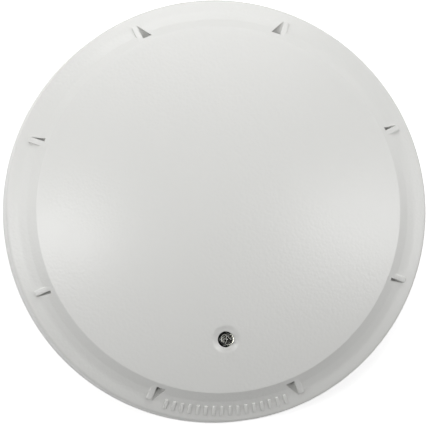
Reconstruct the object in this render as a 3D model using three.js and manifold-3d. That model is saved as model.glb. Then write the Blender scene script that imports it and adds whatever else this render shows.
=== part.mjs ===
// Plug-in heat detector: a domed sensing head that twist-locks into a shallow ceiling base.
// Millimetres. The frame's origin is the centre of the base's mounting face, +Z points out of the
// ceiling through the dome, and the indicator lies on the -Y side.
import * as THREE from "three";
import { mergeVertices } from "three/addons/utils/BufferGeometryUtils.js";
import Module from "manifold-3d";

const wasm = await Module();
wasm.setup();

// Driving dimensions.
const fine = 60; // facets round the big turned shells
const coarse = 14; // facets round small cylinders
const clearance = 0.3; // gap kept between pieces that would touch

const cover = {
  rimRadius: 55,
  rimDraft: 0.3, // the side wall leans in by this much at its top
  rimBottom: 1.5,
  rimTop: 11.5,
  rimRound: 0.85,
  skin: 1.8, // wall of the skirt and the flange
  valleyRadius: 49.5,
  valleyTop: 13.6,
  edgeRadius: 47,
  edgeTop: 15.8,
  crownTop: 22.5,
  domeWall: 2,
};
const rib = { count: 8, firstAngle: 22.5, width: 1.5, outerRadius: 52, bluntEnd: 0.6 };
const vent = { innerRadius: 48.6, outerRadius: 51.8, wide: 2.3, narrow: 0.9, windowHeight: 2.5 };
const tick = { count: 16, pitch: 2.1, radius: 51.7, length: 2.6, width: 0.8, rise: 0.35 };
const led = { x: 0.3, y: -33.4, lensRadius: 1.5, flangeRadius: 1.9, holeRadius: 2.1, length: 5.3, tip: 20.9 };
const dimple = { radius: 3.6, ballRadius: 9 };
const board = { radius: 40.8, bottom: 11.2, thickness: 1.6, tail: 0.7 };
const housing = { radius: 46, wallRadius: 45.6, bottom: 3.6, floorBottom: 8.6, floorTop: 10, wall: 1.8 };
const bayonet = { count: 3, firstAngle: 30, lugSpan: 20, hookSpan: 24, lugTop: 5.4, gap: 0.4, twist: 24 };
const base = { floor: 2, ringInner: 49, ringOuter: 51.8, top: 7.2, stopSpan: 3.5 };
const cableEntry = { radius: 14, collar: 1.8, rise: 2 };
const screwSlot = { innerRadius: 27, outerRadius: 41, width: 5.2 };
const fixing = {
  count: 3,
  radius: 36.5,
  firstAngle: 80,
  shaftRadius: 1.1,
  headRadius: 2.6,
  wellRadius: 4.2,
  bossRadius: 3,
  bite: 3, // depth of thread in the cover's boss
};
const terminal = {
  count: 4,
  firstAngle: 45,
  plateInner: 29,
  plateOuter: 42.6,
  halfWidth: 6,
  thickness: 1,
  screwRadius: 39.4,
};
const clampScrew = { shaftRadius: 1.75, headRadius: 2.9, headHeight: 2, tip: 0.5, square: 6.4, plate: 1 };
const contact = { inner: 29.8, width: 4, leafTop: 6.5, leafThickness: 0.4 };
const blade = { bottom: 6.8, thickness: 0.8, footFrom: 3, legFrom: 10.2 };
const bead = { angle: 106, radius: 1.1, at: 43, height: 12.9, leadPitch: 1.8, leadFoot: 38.8 };
const wire = { radius: 0.25, holeRadius: 0.55 };
const lampLead = { offset: 0.8, halfWidth: 0.22, anvilHeight: 0.9, anvilReach: 0.25, depth: 0.35 };

// Heights that follow from those.
const boardTop = board.bottom + board.thickness;
const lensBottom = led.tip - led.length;
const fixingTip = boardTop + fixing.bite;
const slip = 0.05; // between a clamp plate and what it slides or turns against
const clampBottom = base.floor + terminal.thickness + slip;

// Finishes.
const finish = (color, roughness, metalness = 0) =>
  new THREE.MeshStandardMaterial({ color, roughness, metalness });
const coverWhite = finish(0xe4e4e1, 0.45);
const housingWhite = finish(0xdcdcd6, 0.55);
const baseWhite = finish(0xdfdfda, 0.55);
const clearEpoxy = finish(0xf4f6f0, 0.08);
const boardGreen = finish(0x1f6a3c, 0.5);
const chipBlack = finish(0x1b1c1e, 0.6);
const sensorBlack = finish(0x26282b, 0.35);
const ceramicTan = finish(0xb99a6a, 0.6);
const nickel = finish(0xc9c7be, 0.3, 1);
const bronze = finish(0xc49a5a, 0.35, 1);
const steel = finish(0xb5b7ba, 0.32, 1);
const canAluminium = finish(0xc8cacd, 0.35, 1);

const root = new THREE.Group();

// Geometry helpers.
const radians = THREE.MathUtils.degToRad;

function solidOf(geometry) {
  const bare = geometry.index ? geometry.toNonIndexed() : geometry.clone();
  bare.deleteAttribute("normal");
  bare.deleteAttribute("uv");
  const merged = mergeVertices(bare, 1e-4);
  return new wasm.Manifold(
    new wasm.Mesh({
      numProp: 3,
      vertProperties: merged.attributes.position.array,
      triVerts: new Uint32Array(merged.index.array),
    }),
  );
}

function geometryOf(solid) {
  const mesh = solid.getMesh();
  const geometry = new THREE.BufferGeometry();
  geometry.setAttribute("position", new THREE.BufferAttribute(mesh.vertProperties, 3));
  geometry.setIndex(new THREE.BufferAttribute(mesh.triVerts, 1));
  geometry.computeVertexNormals();
  return geometry;
}

// A turned solid about Z from its section, a list of [radius, height] that runs anticlockwise.
function turned(section, facets = coarse) {
  const points = section.map(([r, z]) => new THREE.Vector2(r, z));
  const onAxis = section[0][0] === 0 && section.at(-1)[0] === 0;
  if (!onAxis) points.push(points[0].clone());
  return solidOf(new THREE.LatheGeometry(points, facets).rotateX(Math.PI / 2));
}

function disc(radius, bottom, top, facets = coarse) {
  return turned([[0, bottom], [radius, bottom], [radius, top], [0, top]], facets);
}

// A box from its lowest to its highest corner.
function block(low, high) {
  const size = high.map((value, i) => value - low[i]);
  const middle = high.map((value, i) => (value + low[i]) / 2);
  return solidOf(new THREE.BoxGeometry(...size).translate(...middle));
}

// An outline in X and Y, raised from one height to another.
function prism(outline, bottom, top) {
  const shape = new THREE.Shape(outline.map(([x, y]) => new THREE.Vector2(x, y)));
  const options = { depth: top - bottom, bevelEnabled: false };
  return solidOf(new THREE.ExtrudeGeometry(shape, options).translate(0, 0, bottom));
}

// A side view in radius and height, given a width across the radius.
function upright(outline, width) {
  const shape = new THREE.Shape(outline.map(([r, z]) => new THREE.Vector2(r, z)));
  const options = { depth: width, bevelEnabled: false };
  const geometry = new THREE.ExtrudeGeometry(shape, options).rotateX(Math.PI / 2);
  return solidOf(geometry.translate(0, width / 2, 0));
}

const turn = (solid, degrees) => solid.rotate([0, 0, degrees]);
const around = (count, first) =>
  Array.from({ length: count }, (_, i) => first + (i * 360) / count);
const atRadius = (radius, degrees) => [
  radius * Math.cos(radians(degrees)),
  radius * Math.sin(radians(degrees)),
];

// A slice of a ring between two angles.
function arcBlock(inner, outer, bottom, top, from, to) {
  const steps = Math.max(2, Math.ceil((to - from) / 5));
  const angles = Array.from({ length: steps + 1 }, (_, i) => from + ((to - from) * i) / steps);
  const out = angles.map((a) => atRadius(outer, a));
  const back = angles.reverse().map((a) => atRadius(inner, a));
  return prism([...out, ...back], bottom, top);
}

function addPiece(name, solid, material, parent = root) {
  const mesh = new THREE.Mesh(geometryOf(solid), material);
  mesh.name = name;
  parent.add(mesh);
  return mesh;
}

// Heights of the dome, a spherical cap through its edge and its crown.
const domeRise = cover.crownTop - cover.edgeTop;
const domeBall = (cover.edgeRadius ** 2 + domeRise ** 2) / (2 * domeRise);
const domeHeight = (r, depth = 0) =>
  cover.crownTop - domeBall + Math.sqrt((domeBall - depth) ** 2 - r ** 2);

// Points along the cap from its edge to the axis.
function domeArc(edgeRadius, depth, steps) {
  return Array.from({ length: steps + 1 }, (_, i) => {
    const r = edgeRadius * (1 - i / steps);
    return [r, domeHeight(r, depth)];
  });
}

// Height of the flange's upper face at a radius.
const rimTopRadius = cover.rimRadius - cover.rimDraft;
const flangeOuter = rimTopRadius - cover.rimRound;
const flangeSlope = (cover.valleyTop - cover.rimTop) / (flangeOuter - cover.valleyRadius);
const flangeHeight = (r) => cover.rimTop + (flangeOuter - r) * flangeSlope;

// Front cover: dome, skirt, flange and rim in one moulding, with its ribs, vents and screw bosses.
function frontCover() {
  const { rimRadius, rimBottom, rimTop, rimRound, skin, valleyRadius, valleyTop } = cover;
  const innerRim = rimRadius - skin;
  const chamfer = rimRound * (1 - Math.SQRT1_2);
  const outside = [
    [rimRadius, rimBottom],
    [rimTopRadius, rimTop - rimRound],
    [rimTopRadius - chamfer, rimTop - chamfer],
    [flangeOuter, rimTop],
    [valleyRadius + 0.3, valleyTop - 0.1],
    [valleyRadius - 0.2, valleyTop + 0.4],
    [cover.edgeRadius + 0.45, cover.edgeTop - 0.75],
    [cover.edgeRadius + 0.1, cover.edgeTop - 0.15],
    ...domeArc(cover.edgeRadius - 0.5, 0, 5),
  ];
  const inside = [
    ...domeArc(cover.edgeRadius - 2.1, cover.domeWall, 3).reverse(),
    [valleyRadius - 2.3, valleyTop - 0.8],
    [valleyRadius - 2, valleyTop - skin],
    [innerRim, flangeHeight(innerRim) - skin],
    [innerRim, rimBottom],
  ];
  let shell = turned([...outside, ...inside], fine);
  for (const angle of around(rib.count, rib.firstAngle)) {
    shell = shell.add(turn(coverRib(), angle));
    shell = shell.subtract(turn(ventCut(angle), angle));
  }
  for (const bar of indexTicks()) shell = shell.add(bar);
  for (const angle of around(fixing.count, fixing.firstAngle)) shell = shell.add(coverBoss(angle));
  const [ball, hole] = ledOpening();
  return shell.subtract(ball).subtract(hole);
}

// A rib that buttresses the skirt and ends in a blunt face on the flange.
function coverRib() {
  const foot = flangeHeight(rib.outerRadius);
  return upright(
    [
      [cover.edgeRadius, cover.valleyTop - 1.2],
      [rib.outerRadius, foot - rib.bluntEnd],
      [rib.outerRadius, foot + rib.bluntEnd],
      [cover.edgeRadius + 0.9, cover.edgeTop - 0.9],
      [cover.edgeRadius - 0.5, cover.edgeTop - 0.7],
    ],
    rib.width,
  );
}

// The slot beside a rib, on its side nearer the Y axis: a wedge through the flange, and a window
// through the foot of the skirt behind it.
function ventCut(angle) {
  const side = Math.sin(radians(2 * angle)) > 0 ? 1 : -1;
  const nearYAxis = Math.abs(Math.sin(radians(angle))) > Math.SQRT1_2;
  const width = nearYAxis ? vent.wide : vent.narrow;
  const start = (side * rib.width) / 2;
  const end = start + side * width;
  const wedge = [
    [vent.innerRadius, start],
    [vent.outerRadius, start],
    [vent.innerRadius, end],
  ];
  const windowBottom = cover.valleyTop - 0.9;
  const windowTop = windowBottom + vent.windowHeight;
  const windowLow = [cover.valleyRadius - 4.5, Math.min(start, end), windowBottom];
  const windowHigh = [vent.innerRadius + 0.2, Math.max(start, end), windowTop];
  if (side < 0) wedge.reverse();
  return prism(wedge, cover.rimTop - 3, cover.edgeTop).add(block(windowLow, windowHigh));
}

// An even row of plain raised ticks on the flange, centred on the -Y side.
function indexTicks() {
  const tilt = Math.atan(flangeSlope);
  const bar = new THREE.BoxGeometry(tick.length, tick.width, 2 * tick.rise)
    .rotateY(tilt)
    .translate(tick.radius, 0, flangeHeight(tick.radius));
  const step = THREE.MathUtils.radToDeg(tick.pitch / tick.radius);
  const first = -90 - ((tick.count - 1) / 2) * step;
  return Array.from({ length: tick.count }, (_, i) => turn(solidOf(bar), first + i * step));
}

// A post under the dome that takes a self-tapping screw.
function coverBoss(angle) {
  const [x, y] = atRadius(fixing.radius, angle);
  const bottom = boardTop + clearance;
  const reach = fixing.radius + fixing.bossRadius + 2;
  const underSkin = turned([[0, 0], [reach, 0], ...domeArc(reach, cover.domeWall / 2, 4)], coarse * 2);
  const tall = disc(fixing.bossRadius, bottom, cover.crownTop);
  const post = tall.translate([x, y, 0]).intersect(underSkin);
  const pilot = disc(fixing.shaftRadius + clearance, bottom - 1, fixingTip + clearance);
  return post.subtract(pilot.translate([x, y, 0]));
}

// The hole for the indicator and the shallow dish round it.
function ledOpening() {
  const slope = Math.asin(-led.y / domeBall);
  const reach = domeBall - Math.sqrt(domeBall ** 2 - dimple.radius ** 2);
  const centre = domeBall - reach + Math.sqrt(dimple.ballRadius ** 2 - dimple.radius ** 2);
  const ball = new THREE.SphereGeometry(dimple.ballRadius, 32, 20).rotateX(Math.PI / 2);
  ball.translate(0, 0, centre).rotateX(slope).translate(0, 0, cover.crownTop - domeBall);
  const hole = disc(led.holeRadius, boardTop, cover.crownTop + 1, 18).translate([0, led.y, 0]);
  return [solidOf(ball), hole];
}

// Indicator: a clear 3 mm lens with a hollow for its two leads, on a spacer above the board.
function ledLens() {
  const shoulder = led.tip - led.lensRadius;
  const cap = [60, 30].map((a) => [
    led.lensRadius * Math.cos(radians(90 - a)),
    shoulder + led.lensRadius * Math.sin(radians(90 - a)),
  ]);
  return turned(
    [
      [1.2, lensBottom],
      [led.flangeRadius, lensBottom],
      [led.flangeRadius, lensBottom + 0.8],
      [led.lensRadius, lensBottom + 0.8],
      [led.lensRadius, shoulder],
      ...cap,
      [0, led.tip],
      [0, lensBottom + 2.6],
      [1.2, lensBottom + 2.6],
    ],
    18,
  ).translate([led.x, led.y, 0]);
}

function ledSpacer() {
  let body = disc(led.flangeRadius + 0.2, boardTop + clearance, lensBottom - clearance);
  for (const x of [-lampLead.offset, lampLead.offset]) {
    body = body.subtract(disc(wire.holeRadius, boardTop, lensBottom, 8).translate([x, 0, 0]));
  }
  return body.translate([led.x, led.y, 0]);
}

// The anode is a plain post; the cathode carries the wider anvil that holds the die.
function ledLead(side, anvil) {
  const { offset, halfWidth, anvilHeight, anvilReach, depth } = lampLead;
  const top = lensBottom + 2.2;
  const low = [side * offset - halfWidth, -halfWidth, board.bottom - board.tail];
  const post = block(low, [side * offset + halfWidth, halfWidth, top]);
  if (!anvil) return post.translate([led.x, led.y, 0]);
  const head = block([-anvilReach, -depth, top - anvilHeight], [offset + halfWidth, depth, top]);
  return post.add(side > 0 ? head : head.rotate([0, 0, 180])).translate([led.x, led.y, 0]);
}

// Board: a disc with holes for the fixings, the contact legs and the leads.
function circuitBoard() {
  let disk = disc(board.radius, board.bottom, boardTop, 40);
  const drill = (radius, x, y, facets = 8) => {
    disk = disk.subtract(disc(radius, board.bottom - 1, boardTop + 1, facets).translate([x, y, 0]));
  };
  for (const angle of around(fixing.count, fixing.firstAngle)) {
    drill(fixing.shaftRadius + 2 * clearance, ...atRadius(fixing.radius, angle), 12);
  }
  for (const angle of around(terminal.count, terminal.firstAngle)) {
    disk = disk.subtract(turn(bladeSlot(board.bottom - 1, boardTop + 1), angle));
  }
  for (const side of [-1, 1]) {
    drill(wire.holeRadius, led.x + side * lampLead.offset, led.y);
    const hole = disc(wire.holeRadius, board.bottom - 1, boardTop + 1, 8);
    const foot = [bead.leadFoot, (side * bead.leadPitch) / 2, 0];
    disk = disk.subtract(turn(hole.translate(foot), bead.angle));
  }
  return disk;
}

function bladeSlot(bottom, top) {
  const legTo = blade.legFrom + blade.thickness;
  return block(
    [contact.inner - clearance, blade.legFrom - clearance, bottom],
    [contact.inner + contact.width + clearance, legTo + clearance, top],
  );
}

// Sensing thermistor: a bead held past the board's edge, level with the vents, on two formed leads.
function sensorBead() {
  const ball = new THREE.SphereGeometry(bead.radius, 10, 7).scale(1.3, 1, 1);
  return solidOf(ball.translate(bead.at, 0, bead.height));
}

function sensorLead(side) {
  const y = (side * bead.leadPitch) / 2;
  const corners = [
    [bead.leadFoot, y, board.bottom - board.tail],
    [bead.leadFoot, y, boardTop + 0.9],
    [bead.leadFoot + 1, y, boardTop + 1.5],
    [bead.at - 1.9, y * 0.8, boardTop + 1.3],
    [bead.at - 1.1, y * 0.6, bead.height + 1.2],
  ].map((p) => new THREE.Vector3(...p));
  const section = new THREE.Shape(
    around(6, 0).map((a) => new THREE.Vector2(...atRadius(wire.radius, a))),
  );
  const curve = new THREE.CatmullRomCurve3(corners, false, "catmullrom", 0.1);
  return solidOf(new THREE.ExtrudeGeometry(section, { steps: 9, extrudePath: curve }));
}

// Rear housing: the floor behind the board, the plug wall with its bayonet lugs, and screw wells.
function rearHousing() {
  const { radius, wallRadius, bottom, floorBottom, floorTop, wall } = housing;
  let body = turned(
    [
      [0, floorBottom],
      [wallRadius - wall, floorBottom],
      [wallRadius - wall, bottom],
      [wallRadius, bottom],
      [wallRadius, floorBottom],
      [radius, floorBottom],
      [radius, floorTop],
      [0, floorTop],
    ],
    fine,
  );
  for (const angle of around(bayonet.count, bayonet.firstAngle)) {
    const half = bayonet.lugSpan / 2;
    const lugOut = base.ringInner - bayonet.gap;
    body = body.add(
      arcBlock(wallRadius - 0.5, lugOut, bottom, bayonet.lugTop, angle - half, angle + half),
    );
  }
  for (const angle of around(fixing.count, fixing.firstAngle)) {
    const [x, y] = atRadius(fixing.radius, angle);
    const well = disc(fixing.wellRadius, floorBottom, board.bottom - clearance);
    const seat = disc(fixing.headRadius + clearance, floorBottom - 1, floorTop + 0.1);
    const bore = disc(fixing.shaftRadius + 2 * clearance, floorTop, board.bottom + 1);
    body = body.add(well.translate([x, y, 0]));
    body = body.subtract(seat.translate([x, y, 0])).subtract(bore.translate([x, y, 0]));
  }
  for (const angle of around(terminal.count, terminal.firstAngle)) {
    body = body.subtract(turn(bladeSlot(floorBottom - 1, floorTop + 1), angle));
  }
  return body;
}

// Self-tapping fixing screw, driven from the rear through the housing and board into the cover.
function fixingScrew() {
  const { shaftRadius, headRadius } = fixing;
  const headBottom = housing.floorBottom + 0.1;
  const headTop = housing.floorTop - 0.1;
  const body = turned(
    [
      [0, headBottom],
      [headRadius - 0.4, headBottom],
      [headRadius, headBottom + 0.4],
      [headRadius, headTop],
      [shaftRadius, headTop],
      [shaftRadius, fixingTip - 0.7],
      [0, fixingTip],
    ],
    12,
  );
  return body.subtract(crossRecess(headBottom - 1, headBottom + 0.8, 1.6));
}

function crossRecess(bottom, top, reach) {
  return block([-reach, -0.35, bottom], [reach, 0.35, top]).add(
    block([-0.35, -reach, bottom], [0.35, reach, top]),
  );
}

// Head contact: a foot that sweeps over the base's spring, and a leg soldered through the board.
function contactBlade() {
  const { inner, width } = contact;
  const { bottom, thickness, footFrom, legFrom } = blade;
  const outer = inner + width;
  const legTo = legFrom + thickness;
  const foot = block([inner, footFrom, bottom], [outer, legTo, bottom + thickness]);
  return foot.add(block([inner, legFrom, bottom], [outer, legTo, boardTop + board.tail]));
}

// Mounting base: floor, ring, bayonet hooks with their end stops, cable entry and screw slots.
function mountingBase() {
  const { floor, ringInner, ringOuter, top, stopSpan } = base;
  const collarOuter = cableEntry.radius + cableEntry.collar;
  let body = turned(
    [
      [cableEntry.radius, 0],
      [ringOuter, 0],
      [ringOuter, top],
      [ringInner, top],
      [ringInner, floor],
      [collarOuter, floor],
      [collarOuter, floor + cableEntry.rise],
      [cableEntry.radius, floor + cableEntry.rise],
    ],
    fine,
  );
  const hookInner = housing.wallRadius + 0.5;
  for (const angle of around(bayonet.count, bayonet.firstAngle)) {
    const half = bayonet.hookSpan / 2;
    const underside = bayonet.lugTop + bayonet.gap;
    body = body.add(arcBlock(hookInner, ringInner + 0.5, underside, top, angle - half, angle + half));
    const locked = angle - bayonet.lugSpan / 2 - 0.5;
    const free = angle + bayonet.lugSpan / 2 + bayonet.twist + 0.5;
    for (const from of [locked - stopSpan, free]) {
      body = body.add(arcBlock(hookInner, ringInner + 0.5, floor - 0.5, top, from, from + stopSpan));
    }
  }
  for (const side of [0, 180]) body = body.subtract(turn(mountingSlot(), side));
  for (const angle of around(terminal.count, terminal.firstAngle)) {
    const bore = disc(clampScrew.shaftRadius + clearance, -1, 4).translate([terminal.screwRadius, 0, 0]);
    body = body.subtract(turn(bore, angle)).add(turn(terminalSeat(), angle));
  }
  return body;
}

// A rounded slot that lets the base fit boxes with different screw spacings.
function mountingSlot() {
  const half = screwSlot.width / 2;
  const from = screwSlot.innerRadius + half;
  const to = screwSlot.outerRadius - half;
  const middle = block([from, -half, -1], [to, half, 4]);
  const ends = [from, to].map((x) => disc(half, -1, 4).translate([x, 0, 0]));
  return middle.add(ends[0]).add(ends[1]);
}

// Two low walls that keep a terminal plate from turning.
function terminalSeat() {
  const { plateInner, plateOuter, halfWidth } = terminal;
  const walls = [-1, 1].map((side) => {
    const near = side * (halfWidth + clearance);
    const far = side * (halfWidth + clearance + 1.2);
    return block(
      [plateInner + 6, Math.min(near, far), base.floor - 0.5],
      [plateOuter - 1, Math.max(near, far), base.floor + 1.4],
    );
  });
  return walls[0].add(walls[1]);
}

// Terminal: a plate with a hole for the clamp screw.
function terminalPlate() {
  const { plateInner, plateOuter, halfWidth, thickness, screwRadius } = terminal;
  const top = base.floor + thickness;
  const plate = block([plateInner, -halfWidth, base.floor], [plateOuter, halfWidth, top]);
  const bore = disc(clampScrew.shaftRadius + clearance, 0, top + 1);
  return plate.subtract(bore.translate([screwRadius, 0, 0]));
}

// Contact spring: a leaf that rises from its foot on the plate and curls over at its tip.
function contactSpring() {
  const foot = base.floor + terminal.thickness;
  const thickness = contact.leafThickness;
  const crest = contact.leafTop;
  const line = [
    [-5.6, foot],
    [-2.4, foot],
    [0.5, foot + 0.9],
    [4.2, crest - 0.5 - thickness],
    [6.2, crest - thickness],
    [8, crest - 0.25 - thickness],
    [9.4, crest - 1.3 - thickness],
  ];
  const upper = line.map(([y, z]) => [y, z + thickness]).reverse();
  const shape = new THREE.Shape([...line, ...upper].map(([y, z]) => new THREE.Vector2(y, z)));
  const leaf = new THREE.ExtrudeGeometry(shape, { depth: contact.width, bevelEnabled: false });
  leaf.rotateX(Math.PI / 2).rotateZ(Math.PI / 2).translate(contact.inner, 0, 0);
  return solidOf(leaf);
}

// Clamp: a square pressure plate that rides up and down with its captive screw.
function clampPlate() {
  const half = clampScrew.square / 2;
  const plate = block([-half, -half, clampBottom], [half, half, clampBottom + clampScrew.plate]);
  const bore = disc(clampScrew.shaftRadius + clearance, 0, housing.floorBottom);
  return plate.subtract(bore).translate([terminal.screwRadius, 0, 0]);
}

function terminalScrew() {
  const headBottom = clampBottom + clampScrew.plate + slip;
  const headTop = headBottom + clampScrew.headHeight;
  const body = turned(
    [
      [0, clampScrew.tip],
      [clampScrew.shaftRadius - 0.4, clampScrew.tip],
      [clampScrew.shaftRadius, clampScrew.tip + 0.5],
      [clampScrew.shaftRadius, headBottom],
      [clampScrew.headRadius, headBottom],
      [clampScrew.headRadius, headTop - 0.5],
      [clampScrew.headRadius - 0.5, headTop],
      [0, headTop],
    ],
    coarse,
  );
  const recess = crossRecess(headTop - 1.2, headTop + 1, 1.9);
  return body.subtract(recess).translate([terminal.screwRadius, 0, 0]);
}

// Components on the board's front face, each on its own footprint.
const onBoard = boardTop + 0.1;

function chip(width, length, height) {
  return block([-width / 2, -length / 2, 0], [width / 2, length / 2, height]);
}

function gullWingChip(width, length, height, legs) {
  let body = chip(width, length, height);
  for (let i = 0; i < legs; i += 1) {
    const y = (i - (legs - 1) / 2) * 1.27;
    body = body.add(block([-width / 2 - 1, y - 0.2, 0], [width / 2 + 1, y + 0.2, 0.35]));
  }
  return body;
}

function canCapacitor(radius, height) {
  return turned(
    [
      [0, 0.8],
      [radius - 0.15, 0.8],
      [radius, 1],
      [radius, 2],
      [radius - 0.35, 2.3],
      [radius, 2.6],
      [radius, height - 0.4],
      [radius - 0.4, height],
      [0, height],
    ],
  ).add(chip(2 * radius, 2 * radius, 1));
}

const components = [
  ["microcontroller", gullWingChip(7.5, 10.4, 2.2, 8), chipBlack, 6, 4, 90],
  ["memory_chip", gullWingChip(3.9, 4.9, 1.6, 4), chipBlack, -12, 6, 0],
  ["bridge_rectifier", gullWingChip(4, 4.7, 2.4, 2), chipBlack, -22, -6, 0],
  ["surge_suppressor", chip(4.3, 2.6, 2.3), chipBlack, -14, -15, 30],
  ["voltage_regulator", gullWingChip(2.5, 4.5, 1.5, 3), chipBlack, -3, -14, 90],
  ["storage_capacitor", canCapacitor(2.5, 5.4), canAluminium, 10, -10, 0],
  ["filter_capacitor", chip(2.5, 3.2, 1.6), ceramicTan, 3, -8, 0],
  ["clock_resonator", chip(3, 7, 1.8), nickel, 19, 6, 0],
  ["loop_resistor", chip(3.2, 6.3, 0.7), chipBlack, -24, 10, 20],
  ["lamp_resistor", chip(1.6, 3.2, 0.6), chipBlack, 5, -28, 90],
  ["reference_thermistor", chip(2, 1.25, 0.9), ceramicTan, -6, 20, 0],
];

// The sensing head, everything that twists out of the base.
addPiece("front_cover", frontCover(), coverWhite);
addPiece("indicator_lens", ledLens(), clearEpoxy);
addPiece("indicator_cathode", ledLead(1, true), nickel);
addPiece("indicator_anode", ledLead(-1, false), nickel);
addPiece("indicator_spacer", ledSpacer(), housingWhite);
addPiece("circuit_board", circuitBoard(), boardGreen);
addPiece("rear_housing", rearHousing(), housingWhite);

const sensor = new THREE.Group();
sensor.rotation.z = radians(bead.angle);
root.add(sensor);
addPiece("sensing_thermistor", sensorBead(), sensorBlack, sensor);
addPiece("thermistor_lead_left", sensorLead(1), nickel, sensor);
addPiece("thermistor_lead_right", sensorLead(-1), nickel, sensor);

for (const [name, solid, material, x, y, degrees] of components) {
  const mesh = addPiece(name, solid, material);
  mesh.position.set(x, y, onBoard);
  mesh.rotation.z = radians(degrees);
}

around(fixing.count, fixing.firstAngle).forEach((angle, i) => {
  const mesh = addPiece(`fixing_screw_${i + 1}`, fixingScrew(), steel);
  mesh.position.set(...atRadius(fixing.radius, angle), 0);
});

// The base and its four terminals.
addPiece("mounting_base", mountingBase(), baseWhite);
around(terminal.count, terminal.firstAngle).forEach((angle, i) => {
  const station = new THREE.Group();
  station.rotation.z = radians(angle);
  root.add(station);
  addPiece(`contact_blade_${i + 1}`, contactBlade(), nickel, station);
  addPiece(`terminal_plate_${i + 1}`, terminalPlate(), nickel, station);
  addPiece(`contact_spring_${i + 1}`, contactSpring(), bronze, station);
  addPiece(`clamp_plate_${i + 1}`, clampPlate(), steel, station);
  addPiece(`terminal_screw_${i + 1}`, terminalScrew(), steel, station);
});

export default root;
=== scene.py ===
from math import asin, atan2, cos, degrees, pi, radians, sin, sqrt, tan

import bpy
from mathutils import Matrix, Vector


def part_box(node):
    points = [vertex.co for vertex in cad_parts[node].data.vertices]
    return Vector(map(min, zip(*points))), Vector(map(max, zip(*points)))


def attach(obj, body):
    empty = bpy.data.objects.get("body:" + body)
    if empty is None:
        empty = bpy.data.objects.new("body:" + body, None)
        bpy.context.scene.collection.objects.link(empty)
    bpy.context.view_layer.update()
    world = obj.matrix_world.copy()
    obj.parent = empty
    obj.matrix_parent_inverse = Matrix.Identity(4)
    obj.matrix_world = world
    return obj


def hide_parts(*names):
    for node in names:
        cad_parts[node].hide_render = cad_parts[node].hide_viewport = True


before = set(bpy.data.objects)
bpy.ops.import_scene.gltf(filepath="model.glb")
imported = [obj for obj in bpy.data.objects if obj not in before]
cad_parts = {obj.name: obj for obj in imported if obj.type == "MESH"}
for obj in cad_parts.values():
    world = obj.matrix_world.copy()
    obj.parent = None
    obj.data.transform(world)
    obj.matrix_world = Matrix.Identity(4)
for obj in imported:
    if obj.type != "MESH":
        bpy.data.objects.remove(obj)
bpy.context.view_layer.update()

print("frame loaded")

mm = 0.001
fullTurn = 2 * pi
coverLow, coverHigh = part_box("front_cover")
baseLow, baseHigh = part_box("mounting_base")
boardLow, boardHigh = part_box("circuit_board")
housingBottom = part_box("rear_housing")[0].z


# a piece's user values: plain ones, then sizes in millimetres
def inMm(plain=None, **sizes):
    return {**(plain or {}), **{name: size * mm for name, size in sizes.items()}}


# taking things up and choosing parts of them, in place of the mouse
def takeUp(piece):
    if bpy.context.object and bpy.context.object.mode != "OBJECT":
        bpy.ops.object.mode_set(mode="OBJECT")
    bpy.ops.object.select_all(action="DESELECT")
    if piece:
        piece.select_set(True)
        bpy.context.view_layer.objects.active = piece


def pick(piece, kind, test):
    takeUp(piece)
    bpy.ops.object.mode_set(mode="EDIT")
    bpy.ops.mesh.select_mode(type=kind)
    selectMesh("DESELECT")
    bpy.ops.object.mode_set(mode="OBJECT")
    mesh = piece.data
    if kind == "VERT":
        for vertex in mesh.vertices:
            vertex.select = bool(test(vertex.co))
    elif kind == "EDGE":
        for edge in mesh.edges:
            edge.select = bool(test(*(mesh.vertices[i].co for i in edge.vertices)))
    else:
        for face in mesh.polygons:
            face.select = bool(test(face.center, face.normal))
    bpy.ops.object.mode_set(mode="EDIT")


def selectMesh(action="SELECT"):
    bpy.ops.mesh.select_all(action=action)


def leaveEdit():
    bpy.ops.object.mode_set(mode="OBJECT")
    return bpy.context.object


def drawIn(piece, kind, test, scale, **settings):
    pick(piece, kind, test)
    bpy.ops.transform.resize(value=scale, **settings)
    return leaveEdit()


def camelName(node):
    first, *others = node.split("_")
    return first + "".join(word.title() for word in others)


def named(piece, name):
    piece.name = name
    piece.data.name = name
    return piece


# rounding the corners of an outline
def roundCorner(before, corner, after, radius, steps):
    inward, outward = (before - corner).normalized(), (after - corner).normalized()
    half = inward.angle(outward) / 2
    reach = radius / tan(half)
    centre = corner + (inward + outward).normalized() * radius / sin(half)
    first, last = corner + inward * reach - centre, corner + outward * reach - centre
    sweep = first.angle(last)
    share = [step / steps for step in range(steps + 1)]
    return [centre + (first * sin((1 - t) * sweep) + last * sin(t * sweep)) / sin(sweep)
            for t in share]


def outlineOf(corners, closed=False, steps=5):     # corners: across, height and the round's radius, if any
    points = [Vector((across, 0, height)) for across, height, *rest in corners]
    line = []
    for i, (across, height, *radius) in enumerate(corners):
        atEnd = not closed and i in (0, len(corners) - 1)
        if any(radius) and not atEnd:
            line += roundCorner(points[i - 1], points[i], points[(i + 1) % len(points)], radius[0], steps)
        else:
            line.append(points[i])
    return line + [line[0]] if closed else line


def traceLine(name, line):
    takeUp(None)
    bpy.ops.mesh.primitive_plane_add(size=mm, location=(0, 0, 0))
    piece = named(bpy.context.object, name)
    bpy.ops.object.mode_set(mode="EDIT")
    bpy.ops.mesh.select_mode(type="VERT")
    selectMesh()
    bpy.ops.mesh.merge(type="CENTER")
    selectMesh()
    bpy.ops.transform.translate(value=line[0])
    for here, there in zip(line, line[1:]):
        bpy.ops.mesh.extrude_vertices_move(TRANSFORM_OT_translate={"value": there - here})
    return piece


def weld():
    selectMesh()
    bpy.ops.mesh.remove_doubles(threshold=1e-6)
    bpy.ops.mesh.normals_make_consistent(inside=False)
    return leaveEdit()


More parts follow.
